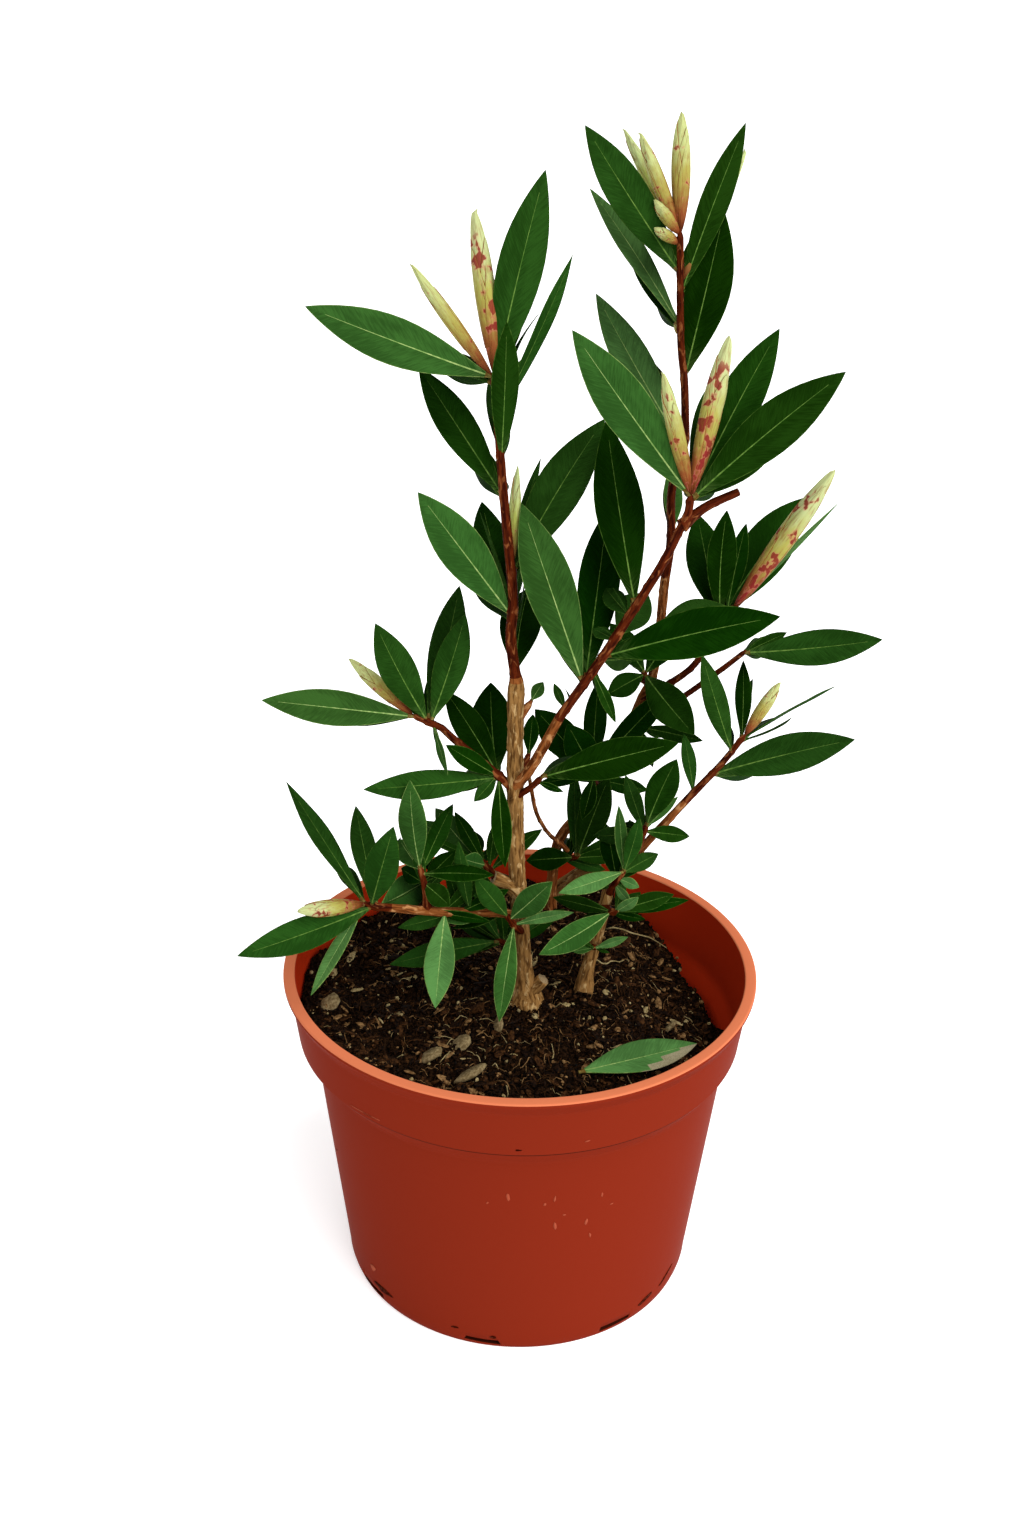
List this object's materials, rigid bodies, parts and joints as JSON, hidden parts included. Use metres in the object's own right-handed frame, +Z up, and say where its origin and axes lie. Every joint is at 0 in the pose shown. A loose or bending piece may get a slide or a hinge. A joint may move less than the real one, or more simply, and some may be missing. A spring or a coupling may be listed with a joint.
{
  "type": "potted bottlebrush",
  "caption": "Young bottlebrush shrub with upright stems, lance-shaped leaves and pale pointed buds, growing in a round clay-coloured plastic nursery pot that stands on its flat underside.",
  "frame": {"origin": "centre of the pot's flat underside, on the surface that it stands on", "axes": "+Z up through the pot's axis; -Y towards the front view, +X to the viewer's right"},
  "size_m": [0.2165, 0.1738, 0.4109],
  "materials": {
    "pot": "satin moulded plastic, clay red with a paler rim",
    "soil": "rough dark compost",
    "bark": "matt tan fibrous bark",
    "red_bark": "matt red-brown young bark",
    "leaf": "satin dark green leaf"
  },
  "bodies": {
    "root": {"pot": "pot", "soil": "soil", "fallen_leaf": "leaf", "trunk": "bark", "foot_stub": "bark", "left_stub": "bark", "right_stem": "bark", "pruned_stub": "bark", "fork_stub": "red_bark", "front_bough": "red_bark", "front_upper_bough": "red_bark", "front_side_twig": "red_bark", "left_bough": "red_bark", "low_left_bough": "red_bark", "right_bough": "red_bark", "back_stem": "red_bark", "upper_right_bough": "red_bark", "side_bough": "red_bark", "arch_twig": "red_bark", "leader_leaves": "leaf", "fork_leaves": "leaf", "fork_back_leaves": "leaf", "fork_front_leaves": "leaf", "front_middle_leaves": "leaf", "front_tip_leaves": "leaf", "left_fan_leaves": "leaf", "left_tip_leaves": "leaf", "left_stub_leaves": "leaf", "low_front_leaves": "leaf", "trunk_foot_leaves": "leaf", "low_left_inner_leaves": "leaf", "low_left_side_leaves": "leaf", "low_left_tip_leaves": "leaf", "right_foot_leaves": "leaf", "right_low_leaves": "leaf", "right_bend_leaves": "leaf", "right_inner_leaves": "leaf", "right_leaves": "leaf", "back_foot_leaves": "leaf", "back_low_leaves": "leaf", "back_side_leaves": "leaf", "back_high_leaves": "leaf", "side_leaves": "leaf", "upper_right_leaves": "leaf", "back_middle_leaves": "leaf", "tall_leaves": "leaf"}
  },
  "joints": []
}
